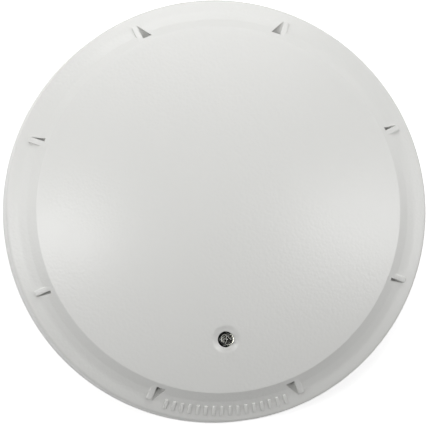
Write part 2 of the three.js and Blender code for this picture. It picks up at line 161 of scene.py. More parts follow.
def spinPiece(name, line, steps=64, centre=(0, 0)):
    traceLine(name, line)
    selectMesh()
    bpy.ops.mesh.spin(steps=steps, angle=fullTurn, center=(0, 0, 0), axis=(0, 0, 1))
    piece = weld()
    moveBy(piece, (*centre, 0))
    return piece


def settle():     # the place goes into the mesh, so the object ends at the origin
    bpy.ops.object.transform_apply(location=True, rotation=True, scale=True)


# a strip's side line, drawn across and up, pulled to its width along Y and given its thickness
def stripPiece(name, line, width, thickness, edge=0.06 * mm):
    traceLine(name, line)
    selectMesh()
    bpy.ops.mesh.extrude_edges_move(TRANSFORM_OT_translate={"value": (0, width, 0)})
    selectMesh()
    bpy.ops.mesh.normals_make_consistent(inside=False)
    piece = leaveEdit()
    applyModifier(piece, "SOLIDIFY", thickness=thickness, offset=0, use_even_offset=True)
    applyModifier(piece, "BEVEL", width=edge, segments=2, angle_limit=radians(60), limit_method="ANGLE")
    return piece


def blockPiece(name, low, high, edge=0, segments=2):     # two opposite corners, in any order
    low, high = [Vector(map(side, low, high)) for side in (min, max)]
    takeUp(None)
    bpy.ops.mesh.primitive_cube_add(size=1, location=(low + high) / 2, scale=high - low)
    piece = named(bpy.context.object, name)
    settle()
    bpy.ops.object.mode_set(mode="EDIT")
    selectMesh()
    if edge:
        bpy.ops.mesh.bevel(offset=edge, segments=segments, affect="EDGES", profile=0.5)
    return leaveEdit()


def roundBar(name, radius, bottom, top, steps=32, centre=(0, 0), edge=0.0):
    corners = [(0, bottom), (radius, bottom, edge), (radius, top, edge), (0, top)]
    return spinPiece(name, outlineOf(corners), steps, centre)


def applyModifier(piece, kind, **settings):
    takeUp(piece)
    made = piece.modifiers.new(kind.lower(), kind)
    for key, value in settings.items():
        setattr(made, key, value)
    bpy.ops.object.modifier_apply(modifier=made.name)


# joining a tool to a piece, or cutting it out, uses the tool up
def fuse(piece, tool, operation="UNION"):
    applyModifier(piece, "BOOLEAN", operation=operation, object=tool, solver="EXACT")
    bpy.data.objects.remove(tool)


def cut(piece, tool):
    fuse(piece, tool, "DIFFERENCE")


# slivers that the cuts leave are merged away and their gaps closed
def tidyMesh(piece):
    pick(piece, "VERT", lambda co: True)
    bpy.ops.mesh.remove_doubles(threshold=2e-6)
    bpy.ops.mesh.dissolve_degenerate(threshold=1e-6)
    selectMesh("DESELECT")
    bpy.ops.mesh.select_non_manifold(use_wire=False, use_multi_face=False, use_non_contiguous=False)
    bpy.ops.mesh.fill_holes(sides=0)
    return leaveEdit()


def joinAll(pieces, name):
    takeUp(pieces[0])
    for piece in pieces:
        piece.select_set(True)
    bpy.ops.object.join()
    return named(bpy.context.object, name)


def moveBy(piece, step):
    takeUp(piece)
    piece.location = step
    settle()
    return piece


def turnBy(piece, angle, axis=2):
    takeUp(piece)
    piece.rotation_euler[axis] = angle
    settle()
    return piece


def copyOf(piece, name):
    takeUp(piece)
    bpy.ops.object.duplicate(linked=False)
    return named(bpy.context.object, name)


def turnedCopies(piece, angles):     # the first one made is used up
    copies = [turnBy(copyOf(piece, piece.name + "Copy"), angle) for angle in angles]
    bpy.data.objects.remove(piece)
    return copies


def around(shape):
    return [radians(shape["first"] + i * 360 / shape["count"]) for i in range(shape["count"])]


def atRadius(radius, angle):
    return radius * cos(angle), radius * sin(angle)


def finishPiece(piece, body, slotName, material, *nodes, sharp=32):
    tidyMesh(piece)
    settle()
    bpy.ops.object.shade_smooth_by_angle(angle=radians(sharp))
    if not piece.data.materials:
        piece.data.materials.append(material)
    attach(piece, body)
    if nodes:
        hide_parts(*nodes)
    return piece


# shared effects, as node groups
def newGroup(name, **inputs):
    group = bpy.data.node_groups.new(name, "ShaderNodeTree")
    for label, value in inputs.items():
        socket = group.interface.new_socket(name=label, in_out="INPUT", socket_type="NodeSocketFloat")
        socket.default_value = value
    group.interface.new_socket(name="Value", in_out="OUTPUT", socket_type="NodeSocketFloat")
    given, out = group.nodes.new("NodeGroupInput"), group.nodes.new("NodeGroupOutput")
    return group, given.outputs, out.inputs["Value"]


def feed(tree, socket, value):     # a fixed value, or a link from another node
    if isinstance(value, bpy.types.NodeSocket):
        tree.links.new(value, socket)
    else:
        socket.default_value = value


def addNode(tree, kind, settings=None, **values):
    node = tree.nodes.new(kind)
    for key, value in (settings or {}).items():
        setattr(node, key, value)
    for key, value in values.items():
        feed(tree, node.inputs[key.replace("_", " ")], value)
    return node


def sumOf(tree, operation, first, second, kind="ShaderNodeMath"):
    node = addNode(tree, kind, {"operation": operation})
    feed(tree, node.inputs[0], first)
    feed(tree, node.inputs[1], second)
    return node.outputs[0]


def objectPlace(tree):
    return addNode(tree, "ShaderNodeTexCoord").outputs["Object"]


# the leathery spark-eroded skin of a mould: wandering cells with finer pits between
def makeGrainGroup():
    group, given, out = newGroup("mouldGrain", Cells=1900.0, Pits=5200.0, Wander=0.0004)
    place, vector = objectPlace(group), "ShaderNodeVectorMath"
    drift = addNode(group, "ShaderNodeTexNoise", Vector=place, Scale=700.0, Detail=2.0)
    centred = sumOf(group, "SUBTRACT", drift.outputs["Color"], (0.5, 0.5, 0.5), vector)
    scaled = addNode(group, vector, {"operation": "SCALE"}, Vector=centred, Scale=given["Wander"])
    moved = sumOf(group, "ADD", place, scaled.outputs[0], vector)
    cells = addNode(group, "ShaderNodeTexVoronoi", {"feature": "SMOOTH_F1"}, Vector=moved,
                    Scale=given["Cells"], Smoothness=0.6)
    pits = addNode(group, "ShaderNodeTexNoise", Vector=place, Scale=given["Pits"], Detail=2.0,
                   Roughness=0.6)
    fine = sumOf(group, "MULTIPLY", pits.outputs[0], 0.35)
    feed(group, out, sumOf(group, "SUBTRACT", fine, cells.outputs["Distance"]))
    return group


# slow unevenness in colour and shine, as resin and handling leave it
def makeMottleGroup():
    group, given, out = newGroup("slowMottle", Scale=40.0, Low=0.9, High=1.0)
    noise = addNode(group, "ShaderNodeTexNoise", Vector=objectPlace(group), Scale=given["Scale"],
                    Detail=4.0, Roughness=0.55)
    spread = addNode(group, "ShaderNodeMapRange", Value=noise.outputs[0], From_Min=0.2, From_Max=0.8,
                     To_Min=given["Low"], To_Max=given["High"])
    feed(group, out, spread.outputs[0])
    return group


# fine drawn or rolled lines along one direction
def makeStreakGroup():
    group, given, out = newGroup("drawnLines", X=200.0, Y=6000.0, Z=6000.0)
    stretch = addNode(group, "ShaderNodeCombineXYZ", X=given["X"], Y=given["Y"], Z=given["Z"])
    spread = sumOf(group, "MULTIPLY", objectPlace(group), stretch.outputs[0], "ShaderNodeVectorMath")
    noise = addNode(group, "ShaderNodeTexNoise", Vector=spread, Scale=1.0, Detail=3.0)
    feed(group, out, noise.outputs[0])
    return group


grainGroup = makeGrainGroup()
mottleGroup = makeMottleGroup()
streakGroup = makeStreakGroup()


def useGroup(tree, group, **values):
    return addNode(tree, "ShaderNodeGroup", {"node_tree": group}, **values).outputs[0]


def blendColour(tree, mask, low, high):
    mix = addNode(tree, "ShaderNodeMix", {"data_type": "RGBA"})
    for i, value in ((0, mask), (6, (*low, 1)), (7, (*high, 1))):     # its sockets share names
        feed(tree, mix.inputs[i], value)
    return mix.outputs[2]


def newMaterial(name, **values):
    material = bpy.data.materials.new(name)
    material.use_nodes = True
    tree = material.node_tree
    shader = tree.nodes["Principled BSDF"]
    for key, value in values.items():
        shader.inputs[key.replace("_", " ")].default_value = value
    return material, tree, shader


def surface(tree, shader, colour, shine, height=None, strength=0.0, distance=0.0):
    feed(tree, shader.inputs["Base Color"], colour)
    feed(tree, shader.inputs["Roughness"], shine)
    if height:
        bump = addNode(tree, "ShaderNodeBump", Height=height, Strength=strength, Distance=distance)
        feed(tree, shader.inputs["Normal"], bump.outputs[0])


# moulded plastic: grain in the normal, slow mottling in shine and colour
def makePlastic(name, low, high, roughness, cells, pits, strength):
    material, tree, shader = newMaterial(name, IOR=1.5)
    grain = useGroup(tree, grainGroup, Cells=cells, Pits=pits)
    mottle = useGroup(tree, mottleGroup, Scale=45.0, Low=0.0, High=1.0)
    shine = useGroup(tree, mottleGroup, Scale=110.0, Low=roughness - 0.02, High=roughness + 0.02)
    surface(tree, shader, blendColour(tree, mottle, low, high), shine, grain, strength, 0.05 * mm)
    return material


def makeMetal(name, low, high, roughness, lines=(200.0, 6000.0, 6000.0)):
    material, tree, shader = newMaterial(name, Metallic=1.0)
    streaks = useGroup(tree, streakGroup, X=lines[0], Y=lines[1], Z=lines[2])
    tarnish = useGroup(tree, mottleGroup, Scale=160.0, Low=0.0, High=1.0)
    shine = useGroup(tree, mottleGroup, Scale=420.0, Low=roughness - 0.06, High=roughness + 0.08)
    surface(tree, shader, blendColour(tree, tarnish, low, high), shine, streaks, 0.12, 0.02 * mm)
    return material


def makeEpoxy():
    material, tree, shader = newMaterial("clearEpoxy", IOR=1.52, Transmission_Weight=1.0)
    shine = useGroup(tree, mottleGroup, Scale=900.0, Low=0.01, High=0.04)
    tint = useGroup(tree, mottleGroup, Scale=300.0, Low=0.0, High=1.0)
    surface(tree, shader, blendColour(tree, tint, (0.96, 0.97, 0.95), (0.99, 0.99, 0.985)), shine)
    return material


# solder mask over woven glass, with tracks standing just proud of the laminate
def makeMask():
    material, tree, shader = newMaterial("solderMask", IOR=1.5)
    place = objectPlace(tree)
    tracks = addNode(tree, "ShaderNodeTexBrick", {"offset": 0.37, "squash": 0.6}, Vector=place, Scale=190.0,
                     Mortar_Size=0.045).outputs["Fac"]
    weave = addNode(tree, "ShaderNodeTexWave", {"wave_profile": "SIN"}, Vector=place, Scale=700.0,
                    Distortion=0.6).outputs["Fac"]
    shine = useGroup(tree, mottleGroup, Scale=90.0, Low=0.24, High=0.36)
    height = sumOf(tree, "ADD", sumOf(tree, "MULTIPLY", weave, 0.15), tracks)
    colour = blendColour(tree, tracks, (0.012, 0.105, 0.04), (0.03, 0.2, 0.075))
    surface(tree, shader, colour, shine, height, 0.35, 0.04 * mm)
    return material


# dark and light colour, roughness, then the grain's cells, pits and strength
coverWhite = makePlastic("coverWhite", (0.73, 0.731, 0.711), (0.742, 0.742, 0.723), 0.302, 1300, 3600, 0.6)
housingWhite = makePlastic("housingWhite", (0.66, 0.66, 0.63), (0.7, 0.7, 0.675), 0.5, 3200, 8000, 0.15)
baseWhite = makePlastic("baseWhite", (0.68, 0.68, 0.655), (0.72, 0.72, 0.695), 0.48, 2600, 7000, 0.2)
# this black is real on the chips and seat; on the lamp's spacer it is painted shade for the gap round the
# lens
blackPlasticAndPaintedShade = makePlastic("blackPlasticAndPaintedShade", (0.016, 0.016, 0.018), (0.03, 0.03, 0.032), 0.5, 9000, 16000, 0.35)
beadBlack = makePlastic("beadBlack", (0.012, 0.012, 0.014), (0.025, 0.025, 0.026), 0.24, 1500, 6000, 0.25)
ceramicTan = makePlastic("ceramicTan", (0.36, 0.24, 0.11), (0.5, 0.36, 0.19), 0.55, 7000, 15000, 0.3)
resistorBlack = makePlastic("resistorBlack", (0.02, 0.022, 0.03), (0.035, 0.038, 0.05), 0.3, 8000, 16000, 0.2)
tinPlate = makeMetal("tinPlate", (0.66, 0.655, 0.63), (0.78, 0.775, 0.75), 0.3)
nickelPlate = makeMetal("nickelPlate", (0.58, 0.565, 0.52), (0.7, 0.685, 0.64), 0.27)
bronzeStrip = makeMetal("bronzeStrip", (0.5, 0.29, 0.11), (0.66, 0.42, 0.19), 0.3)
zincSteel = makeMetal("zincSteel", (0.5, 0.51, 0.52), (0.64, 0.65, 0.66), 0.33, (4000, 4000, 600))
canAluminium = makeMetal("canAluminium", (0.66, 0.67, 0.68), (0.8, 0.81, 0.82), 0.26, (4500, 4500, 300))
cupNickel = makeMetal("cupNickel", (0.8, 0.8, 0.73), (0.92, 0.92, 0.85), 0.16)
dieGrey = makeMetal("dieGrey", (0.1, 0.1, 0.09), (0.22, 0.22, 0.2), 0.22)
clearEpoxy = makeEpoxy()
solderMask = makeMask()
print("materials made")


# front cover
coverShape = inMm({"steps": 240},
    rimDraft=0.3,
    rimTop=11.5,
    rimRound=1.1,
    skin=1.8,
    bendRadius=51.4,     # where the hollow of the flange straightens out
    bendTop=12.65,
    bendRound=6,
    valleyRadius=49.4,
    valleyTop=13.9,
    valleyRound=3,
    edgeRadius=47.2,
    edgeTop=15.9,
    edgeRound=0.8,
    domeWall=2,
)
ribShape = inMm({"count": 8, "first": 22.5}, width=1.5, reach=52, bluntEnd=0.9, edge=0.25)
ventShape = inMm(inner=48.3, outer=51.9, wide=2.3, narrow=0.8, height=2.5, window=2.6)
tickShape = inMm({"count": 16}, pitch=2.1, radius=51.8, length=2.6, width=0.8, rise=0.32)
bossShape = inMm({"count": 3, "first": 80}, at=36.5, radius=3, pilot=1.4, depth=3.3)
lampHole = inMm(at=-33.4, radius=2.05, dish=3.6, ball=11, lip=2.4)

rimRadius = coverHigh.x
rimTopRadius = rimRadius - coverShape["rimDraft"]
domeRise = coverHigh.z - coverShape["edgeTop"]
domeBall = (coverShape["edgeRadius"] ** 2 + domeRise ** 2) / (2 * domeRise)
flangeLine = [(coverShape["valleyRadius"], coverShape["valleyTop"]),
              (coverShape["bendRadius"], coverShape["bendTop"]),
              (rimTopRadius, coverShape["rimTop"])]


def domeHeight(radius, depth=0.0):
    return coverHigh.z - domeBall + sqrt((domeBall - depth) ** 2 - radius ** 2)


def flangeHeight(radius):     # on the straight runs of the flange, without its rounds
    (near, nearTop), (far, farTop) = flangeLine[:2] if radius < coverShape["bendRadius"] else flangeLine[1:]
    return nearTop + (farTop - nearTop) * (radius - near) / (far - near)


def domeArc(reach, depth, steps):
    return [Vector((reach * i / steps, 0, domeHeight(reach * i / steps, depth))) for i in range(steps + 1)]


def shellOutline():
    shape = coverShape
    innerRim = rimRadius - shape["skin"]
    innerValley = shape["valleyRadius"] - 1.7 * mm
    outerEdge = shape["edgeRadius"] - 1.2 * mm
    innerEdge = shape["edgeRadius"] - 2.1 * mm
    corners = [
        (outerEdge, domeHeight(outerEdge)),
        (shape["edgeRadius"], domeHeight(shape["edgeRadius"]), shape["edgeRound"]),
        (shape["valleyRadius"], shape["valleyTop"], shape["valleyRound"]),
        (shape["bendRadius"], shape["bendTop"], shape["bendRound"]),
        (rimTopRadius, shape["rimTop"], shape["rimRound"]),
        (rimRadius, coverLow.z, 0.35 * mm),
        (innerRim, coverLow.z, 0.2 * mm),
        (innerRim, flangeHeight(innerRim) - shape["skin"], 0.5 * mm),
        (innerValley, shape["valleyTop"] - shape["skin"], 0.4 * mm),
        (innerEdge, domeHeight(innerEdge, shape["domeWall"])),
    ]
    outside = domeArc(outerEdge, 0, 40)
    inside = domeArc(innerEdge, shape["domeWall"], 16)
    return outside[:-1] + outlineOf(corners, steps=7) + inside[-2::-1]


def ribBlock():
    foot = flangeHeight(ribShape["reach"])
    half = ribShape["width"] / 2
    inner = coverShape["edgeRadius"] - 0.6 * mm
    low, high = (inner, -half, foot - 1 * mm), (ribShape["reach"], half, foot + ribShape["bluntEnd"])
    rib = blockPiece("rib", low, high)
    pick(rib, "VERT", lambda co: co.x < ribShape["reach"] - 1 * mm and co.z > foot)
    bpy.ops.transform.translate(value=(0, 0, coverShape["edgeTop"] - 0.75 * mm - high[2]))
    leaveEdit()
    pick(rib, "EDGE", lambda a, b: max(a.x, b.x) > ribShape["reach"] - 0.1 * mm or min(a.z, b.z) > foot)
    bpy.ops.mesh.bevel(offset=ribShape["edge"], segments=3, affect="EDGES")
    return leaveEdit()


# a wedge sunk in the flange, with a level floor that runs in through a window in the skirt's foot
def ventCutter(angle):
    side = 1 if sin(2 * angle) > 0 else -1
    wide = ventShape["wide"] if abs(sin(angle)) > sqrt(0.5) else ventShape["narrow"]
    start = side * (ribShape["width"] / 2 - 0.02 * mm)
    end = start + side * wide
    bottom = flangeHeight(ventShape["outer"]) - 0.05 * mm
    wedge = blockPiece("vent", (ventShape["inner"], start, bottom),
                       (ventShape["outer"], end, coverShape["edgeTop"] - 0.3 * mm))
    pick(wedge, "VERT", lambda co: co.x > ventShape["outer"] - 0.1 * mm)
    bpy.ops.transform.translate(value=(0, start - (start + end) / 2, 0))
    bpy.ops.transform.resize(value=(1, 0.12, 1))
    bpy.ops.transform.translate(value=(0, side * 0.06 * wide, 0))
    leaveEdit()
    window = blockPiece("ventWindow", (coverShape["edgeRadius"] - ventShape["window"], start, bottom),
                        (ventShape["inner"] + 0.2 * mm, end, bottom + ventShape["height"]))
    fuse(wedge, window)
    return turnBy(wedge, angle)


def indexTicks():
    ticks = []
    at, reach = tickShape["radius"], tickShape["length"] / 2
    outside, inside = flangeHeight(at + reach), flangeHeight(at - reach)
    for i in range(tickShape["count"]):
        along = (i - (tickShape["count"] - 1) / 2) * tickShape["pitch"]
        half = (tickShape["length"] / 2, tickShape["width"] / 2, tickShape["rise"])
        tick = blockPiece("tick", [-x for x in half], half, edge=0.14 * mm, segments=3)
        turnBy(tick, atan2(inside - outside, 2 * reach), axis=1)
        moveBy(tick, (at, 0, (inside + outside) / 2))
        ticks.append(turnBy(tick, -pi / 2 + along / at))
    return joinAll(ticks, "indexTicks")


def coverBosses():
    bottom = boardHigh.z + 0.3 * mm
    top = domeHeight(bossShape["at"], coverShape["domeWall"] * 0.6)
    bored = bottom + bossShape["depth"] - 0.4 * mm
    pilot, radius = bossShape["pilot"], bossShape["radius"]
    corners = [(0, bored + 0.4 * mm), (pilot, bored), (pilot, bottom, 0.12 * mm),
               (radius, bottom, 0.2 * mm), (radius, top), (0, top)]
    boss = spinPiece("boss", outlineOf(corners), 40, (bossShape["at"], 0))
    return joinAll(turnedCopies(boss, around(bossShape)), "coverBosses")


# the dish round the lamp rolls over into the dome at its lip
def lampCutter():
    tilt = asin(-lampHole["at"] / domeBall)
    radius, ball = lampHole["dish"], lampHole["ball"]
    surface = sqrt(domeBall ** 2 - radius ** 2) - domeBall
    centre = surface + sqrt(ball ** 2 - radius ** 2)
    reach = radius + 1.5 * mm
    steps = 12
    across = [radius * i / steps for i in range(steps + 1)]
    bowl = [Vector((x, 0, centre - sqrt(ball ** 2 - x ** 2))) for x in across]
    before, corner = bowl[-3], bowl[-1]
    after = Vector((reach, 0, sqrt(domeBall ** 2 - reach ** 2) - domeBall + 0.03 * mm))
    lip = roundCorner(before, corner, after, lampHole["lip"], 6)
    above = [Vector((reach, 0, 6 * mm)), Vector((0, 0, 6 * mm))]
    dish = spinPiece("dishCutter", bowl[:-3] + lip + [after] + above, 96)
    moveBy(dish, (0, 0, domeBall))
    turnBy(dish, tilt, axis=0)
    moveBy(dish, (0, 0, coverHigh.z - domeBall))
    hole = roundBar("holeCutter", lampHole["radius"], boardHigh.z, coverHigh.z + mm, 72, (0, lampHole["at"]))
    return dish, hole


def buildCover():
    cover = spinPiece("coverMoulding", shellOutline(), coverShape["steps"])
    ribs = turnedCopies(ribBlock(), around(ribShape))
    fuse(cover, joinAll(ribs, "ribs"))
    fuse(cover, coverBosses())
    fuse(cover, indexTicks())
    vents = [ventCutter(angle) for angle in around(ribShape)]
    cut(cover, joinAll(vents, "vents"))
    for cutter in lampCutter():
        cut(cover, cutter)
    return finishPiece(cover, "head", "cover_white", coverWhite, "front_cover", sharp=28)


buildCover()
print("cover built")


# indicator lamp
lampShape = inMm(
    offCentre=0.15,      # the leads lean it a little to one side
    lens=1.5,
    flange=1.9,
    flangeHeight=0.8,
    leadOffset=0.8,
    leadWidth=0.44,
    leadTop=2.2,         # above the lens's foot
    cupRadius=0.68,
    cupDepth=0.5,
    die=0.28,
    nibHalf=0.42,
)
lensLow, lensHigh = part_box("indicator_lens")
lampPlace = ((lensLow.x + lensHigh.x) / 2 + lampShape["offCentre"], (lensLow.y + lensHigh.y) / 2, 0)


def buildLens():
    radius, flange, bottom = lampShape["lens"], lampShape["flange"], lensLow.z
    shoulder, ledge = lensHigh.z - radius, bottom + lampShape["flangeHeight"]
    rises = [radians(i * 6) for i in range(15)]
    dome = [Vector((radius * cos(rise), 0, shoulder + radius * sin(rise))) for rise in rises]
    corners = [(0, bottom), (flange, bottom, 0.1 * mm), (flange, ledge, 0.1 * mm), (radius, ledge, 0.08 * mm),
               (radius, shoulder)]
    line = outlineOf(corners)[:-1] + dome + [Vector((0, 0, lensHigh.z))]
    lens = spinPiece("lampLens", line, 64, lampPlace[:2])
    finishPiece(lens, "head", "clear_epoxy", clearEpoxy, "indicator_lens", sharp=60)


def leadPost(name, side, top):
    half = lampShape["leadWidth"] / 2
    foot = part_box("indicator_anode")[0].z
    post = blockPiece(name, (side * lampShape["leadOffset"] - half, -half, foot),
                      (side * lampShape["leadOffset"] + half, half, top), edge=0.04 * mm)
    return drawIn(post, "FACE", lambda centre, normal: normal.z < -0.9, (0.6, 0.6, 1))


# the cathode's stamped cup carries the die, the anode ends in a plain nib
def buildLampLeads():
    top = lensLow.z + lampShape["leadTop"]
    cupAt = lampShape["leadOffset"] * 0.6
    cathode = leadPost("lampCathode", 1, top - lampShape["cupDepth"])
    lip, floor = lampShape["cupRadius"], lampShape["cupRadius"] * 0.45
    bottom = top - lampShape["cupDepth"]
    corners = [(0, bottom - 0.35 * mm), (lip, bottom - 0.3 * mm, 0.1 * mm), (lip + 0.08 * mm, top, 0.03 * mm),
               (lip - 0.05 * mm, top, 0.03 * mm), (floor, bottom, 0.04 * mm), (0, bottom)]
    cup = spinPiece("cup", outlineOf(corners), 40, (cupAt, 0))
    fuse(cathode, cup)
    moveBy(cathode, lampPlace)
    finishPiece(cathode, "head", "tinned_lead", cupNickel, "indicator_cathode")
    anode = leadPost("lampAnode", -1, top - 0.1 * mm)
    nib = blockPiece("nib", (-lampShape["leadOffset"] - 0.22 * mm, -lampShape["nibHalf"], top - 1 * mm),
                     (-0.36 * mm, lampShape["nibHalf"], top - 0.1 * mm), edge=0.08 * mm)
    fuse(anode, nib)
    moveBy(anode, lampPlace)
    finishPiece(anode, "head", "tinned_lead", tinPlate, "indicator_anode")
    half = lampShape["die"] / 2
    die = blockPiece("lampDie", (-half, -half, bottom), (half, half, bottom + 0.16 * mm), edge=0.02 * mm)
    moveBy(die, (lampPlace[0] + cupAt, lampPlace[1], 0))
    finishPiece(die, "head", "tinned_lead", dieGrey)


# painted shade: the spacer under the lamp is made black so the gap between the lens and its hole looks dark
def buildSpacer():
    low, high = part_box("indicator_spacer")
    radius = (high.x - low.x) / 2
    spacer = roundBar("lampSpacer", radius, low.z, high.z, 48, edge=0.15 * mm)
    for side in (-1, 1):
        hole = roundBar("hole", 0.5 * mm, low.z - mm, high.z + mm, 24, (side * lampShape["leadOffset"], 0))
        cut(spacer, hole)
    moveBy(spacer, lampPlace)
    finishPiece(spacer, "head", "chip_black", blackPlasticAndPaintedShade, "indicator_spacer")


buildLens()
buildLampLeads()
buildSpacer()
print("lamp built")


# rear housing
fixingShape = inMm({"count": 3, "first": 80}, at=36.5, shaft=1.1, head=2.6, crest=1.3, pitch=0.9,
                   well=4.2, sink=2.9, bore=1.7)
housingShape = inMm({"lugSpan": 20}, floor=8.6, top=10, wallRadius=45.6, wall=1.8, shoulder=46,
                    lugTop=5.4, lugReach=48.6)
bayonetShape = {"count": 3, "first": 30, "twist": 24}
stationShape = {"count": 4, "first": 45}
stationAngles = around(stationShape)
fixingAngles = around(fixingShape)
bayonetAngles = around(bayonetShape)
bladeLow, bladeHigh = Vector((29.8, 3, 6.8)) * mm, Vector((33.8, 11, 13.5)) * mm


def ringSlice(name, corners, start, end, edge):
    traceLine(name, outlineOf(corners, closed=True))
    selectMesh()
    bpy.ops.mesh.remove_doubles(threshold=1e-6)
    selectMesh()
    bpy.ops.mesh.edge_face_add()
    steps = max(3, round(degrees(end - start) / 2))
    bpy.ops.mesh.spin(steps=steps, angle=end - start, center=(0, 0, 0), axis=(0, 0, 1))
    return softenEdges(turnBy(weld(), end), edge)


def softenEdges(piece, width, segments=2, angle=50):
    applyModifier(piece, "BEVEL", width=width, segments=segments, limit_method="ANGLE",
                  angle_limit=radians(angle))
    return piece


def bladeSlots(bottom, top):
    gap = 0.3 * mm
    slot = blockPiece("bladeSlot", (bladeLow.x - gap, bladeHigh.y - 0.8 * mm - gap, bottom),
                      (bladeHigh.x + gap, bladeHigh.y + gap, top), edge=0.25 * mm)
    return joinAll(turnedCopies(slot, stationAngles), "bladeSlots")


def buildHousing():
    shape = housingShape
    bottom, top = housingBottom, shape["top"]
    inner = shape["wallRadius"] - shape["wall"]
    corners = [(0, shape["floor"]), (inner, shape["floor"], 0.6 * mm), (inner, bottom, 0.4 * mm),
               (shape["wallRadius"], bottom, 0.4 * mm), (shape["wallRadius"], shape["floor"], 0.15 * mm),
               (shape["shoulder"], shape["floor"], 0.15 * mm), (shape["shoulder"], top, 0.3 * mm),
               (0, top)]
    housing = spinPiece("housingMoulding", outlineOf(corners), 160)
    half = radians(shape["lugSpan"] / 2)
    root, tip, crown = shape["wallRadius"] - 0.5 * mm, shape["lugReach"], shape["lugTop"]
    lug = [(root, bottom), (tip, bottom, 0.5 * mm), (tip, crown, 0.25 * mm), (root, crown)]
    lugs = [ringSlice("lug", lug, angle - half, angle + half, 0.25 * mm) for angle in bayonetAngles]
    fuse(housing, joinAll(lugs, "lugs"))
    wells = [roundBar("well", fixingShape["well"], shape["floor"] + 0.2 * mm, boardLow.z - 0.3 * mm, 48,
                      atRadius(fixingShape["at"], angle), 0.25 * mm) for angle in fixingAngles]
    fuse(housing, joinAll(wells, "wells"))
    sink, clear = fixingShape["sink"], fixingShape["bore"]
    mouth, ledge, end = shape["floor"] - mm, top + 0.1 * mm, boardLow.z + mm
    step = [(0, mouth), (sink, mouth), (sink, ledge), (clear, ledge), (clear, end),
            (0, end)]
    bore = spinPiece("bore", outlineOf(step), 40, (fixingShape["at"], 0))
    cut(housing, joinAll(turnedCopies(bore, fixingAngles), "bores"))
    cut(housing, bladeSlots(mouth, ledge))
    finishPiece(housing, "head", "housing_white", housingWhite, "rear_housing")


# rings of thread round a shaft, as points of its outline
def threadRings(root, crest, bottom, top, pitch):
    rings = []
    for i in range(int((top - bottom) / pitch)):
        foot = bottom + i * pitch
        rings += [(root, foot), (root, foot + pitch * 0.3), (crest, foot + pitch * 0.6),
                  (crest, foot + pitch * 0.7)]
    return rings + [(root, top)]


# a tapered cross, sunk from the given height
def crossRecess(height, reach, depth, width):
    sign = 1 if depth > 0 else -1
    blades = []
    for turn in (0, pi / 2):
        blade = blockPiece("recess", (-reach, -width / 2, height - depth),
                           (reach, width / 2, height + sign * mm))
        drawIn(blade, "FACE", lambda centre, normal: normal.z * sign < -0.9, (0.45, 0.8, 1))
        blades.append(turnBy(blade, turn))
    fuse(blades[0], blades[1])
    return blades[0]


def buildFixings():
    low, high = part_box("fixing_screw_1")
    headTop = low.z + 1.2 * mm
    shape = fixingShape
    root = shape["shaft"] - 0.2 * mm
    corners = [(0, low.z), (shape["head"] - 0.2 * mm, low.z, 0.5 * mm),
               (shape["head"], headTop, 0.15 * mm), (root, headTop, 0.1 * mm)]
    corners += threadRings(root, shape["crest"], headTop + 0.9 * mm, high.z - mm, shape["pitch"])
    screw = spinPiece("fixingScrew", outlineOf(corners + [(0, high.z)], steps=3), 40)
    cut(screw, crossRecess(low.z, 1.5 * mm, -0.85 * mm, 0.55 * mm))
    moveBy(screw, (shape["at"], 0, 0))
    for i, piece in enumerate(turnedCopies(screw, fixingAngles)):
        named(piece, f"fixingScrew{i + 1}")
        finishPiece(piece, "head", "screw_steel", zincSteel, f"fixing_screw_{i + 1}")


# strips are drawn along X and then swung so that they run along Y at the station's radius
def swungStrip(name, corners, thickness, edge, steps=6):
    strip = stripPiece(name, outlineOf(corners, steps=steps), bladeHigh.x - bladeLow.x, thickness, edge)
    turnBy(strip, pi / 2)
    return moveBy(strip, (bladeHigh.x, 0, 0))


def buildBlades():
    middle = bladeLow.z + 0.4 * mm
    leg = bladeHigh.y - 0.4 * mm
    corners = [(bladeLow.y, middle + 0.5 * mm), (bladeLow.y + 1.1 * mm, middle, 0.8 * mm),
               (leg, middle, 0.7 * mm), (leg, bladeHigh.z)]
    blade = swungStrip("headContact", corners, 0.76 * mm, 0.12 * mm)
    tip = bladeHigh.z - 0.1 * mm
    drawIn(blade, "FACE", lambda centre, normal: normal.z > 0.9 and centre.z > tip, (0.8, 1, 1))
    for i, piece in enumerate(turnedCopies(blade, stationAngles)):
        named(piece, f"headContact{i + 1}")
        finishPiece(piece, "head", "contact_nickel", nickelPlate, f"contact_blade_{i + 1}")


buildHousing()
buildFixings()
buildBlades()
print("housing built")


# mounting base
baseShape = inMm({"hookSpan": 24, "stopSpan": 3.5},
    floor=2,
    ringInner=49,
    entry=14,
    collar=1.8,
    collarRise=2,
    hookInner=46.1,
    hookUnder=5.8,
    slotFrom=29.6,
    slotTo=38.4,
    slotHalf=2.6,
    clampBore=2.05,
    clampAt=39.4,
)
# the round marks that the ejector pins leave
markShape = inMm({"count": 6, "first": 15}, radius=2.2, depth=0.12, inner=21, outer=45.5)


def hooksAndStops():
    shape = baseShape
    half, free = radians(shape["hookSpan"] / 2), radians(housingShape["lugSpan"] / 2 + 0.5)
    stop, twist = radians(shape["stopSpan"]), radians(bayonetShape["twist"])
    outer = shape["ringInner"] + 0.5 * mm
    pieces = []
    for angle in bayonetAngles:
        spans = [(angle - half, angle + half, shape["hookUnder"]),
                 (angle - free - stop, angle - free, shape["floor"] - 0.5 * mm),
                 (angle + free + twist, angle + free + twist + stop, shape["floor"] - 0.5 * mm)]
        for start, end, bottom in spans:
            corners = [(shape["hookInner"], bottom, 0.2 * mm), (outer, bottom),
                       (outer, baseHigh.z - 0.3 * mm), (shape["hookInner"], baseHigh.z, 0.4 * mm)]
            pieces.append(ringSlice("hook", corners, start, end, 0.2 * mm))
    return pieces


